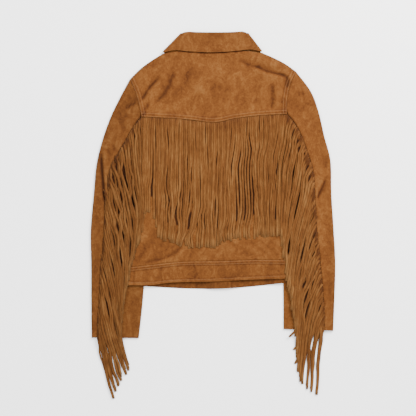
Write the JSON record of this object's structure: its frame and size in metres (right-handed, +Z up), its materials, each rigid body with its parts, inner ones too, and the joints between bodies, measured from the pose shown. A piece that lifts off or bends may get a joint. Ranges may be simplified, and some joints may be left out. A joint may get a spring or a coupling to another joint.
{
  "type": "fringed suede jacket laid flat",
  "caption": "Suede western jacket with turned-down collar, back yoke, waistband and long cut fringe along yoke and sleeve seams, laid flat with its back up.",
  "frame": {"origin": "middle of the jacket's outline, on the surface that it lies on", "axes": "+Z up out of the jacket's back, +Y from the hem towards the collar, +X towards the wearer's right sleeve"},
  "size_m": [0.5622, 0.8473, 0.0112],
  "materials": {
    "suede_body": "napped suede, matt, tan with mottling",
    "suede_sleeve": "napped suede, matt, tan with mottling",
    "suede_fringe": "cut suede strips, matt nap with darker cut edges",
    "button": "plain dark brown"
  },
  "bodies": {
    "root": {"yoke_back": "suede_body", "back_panel": "suede_body", "waistband_back": "suede_body", "collar": "suede_body", "front_left": "suede_body", "front_right": "suede_body", "waistband_front_left": "suede_body", "waistband_front_right": "suede_body", "sleeve_left_upper": "suede_sleeve", "sleeve_left_under": "suede_sleeve", "sleeve_right_upper": "suede_sleeve", "sleeve_right_under": "suede_sleeve", "fringe_back": "suede_fringe", "fringe_sleeve_left": "suede_fringe", "fringe_sleeve_right": "suede_fringe", "button_1": "button", "button_2": "button", "button_3": "button", "button_4": "button", "button_5": "button", "button_6": "button"}
  },
  "joints": []
}
